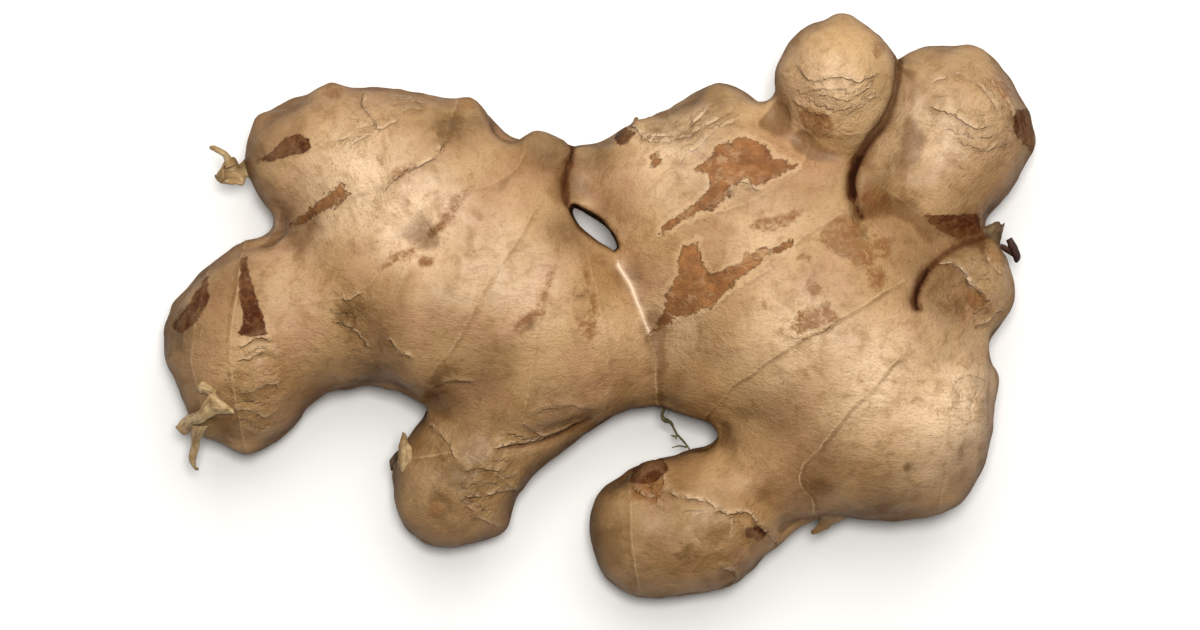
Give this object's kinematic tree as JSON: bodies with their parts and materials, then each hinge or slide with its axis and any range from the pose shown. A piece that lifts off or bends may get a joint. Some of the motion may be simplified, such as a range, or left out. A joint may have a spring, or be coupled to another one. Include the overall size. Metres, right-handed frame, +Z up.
{
  "type": "ginger root",
  "caption": "Fresh ginger root: a knobbly branched rhizome with ringed papery skin, dry scale leaves and a thin rootlet, lying flat.",
  "frame": {"origin": "middle of the root's length and width, on the surface that it lies on", "axes": "+X along the root's length, from the fat single finger to the end with the round knobs; +Y across it, from the two lower fingers to the knobs; +Z up, away from the surface that it lies on"},
  "size_m": [0.1506, 0.1002, 0.0345],
  "materials": {
    "skin": "thin tan papery rhizome skin with a soft sheen",
    "dry_leaf": "dry papery scale leaf, matte",
    "dark_leaf": "dead scale leaf, dark brown, matte",
    "root_fibre": "dry rootlet, dull green brown"
  },
  "bodies": {
    "root": {"rhizome": "skin", "leaf_upper_left": "dry_leaf", "leaf_far_left": "dry_leaf", "leaf_lower_finger": "dry_leaf", "leaf_bottom": "dry_leaf", "leaf_bud_crown": "dry_leaf", "leaf_bud_curl": "dark_leaf", "leaf_right_shoulder": "dark_leaf", "thin_root": "root_fibre"}
  },
  "joints": []
}
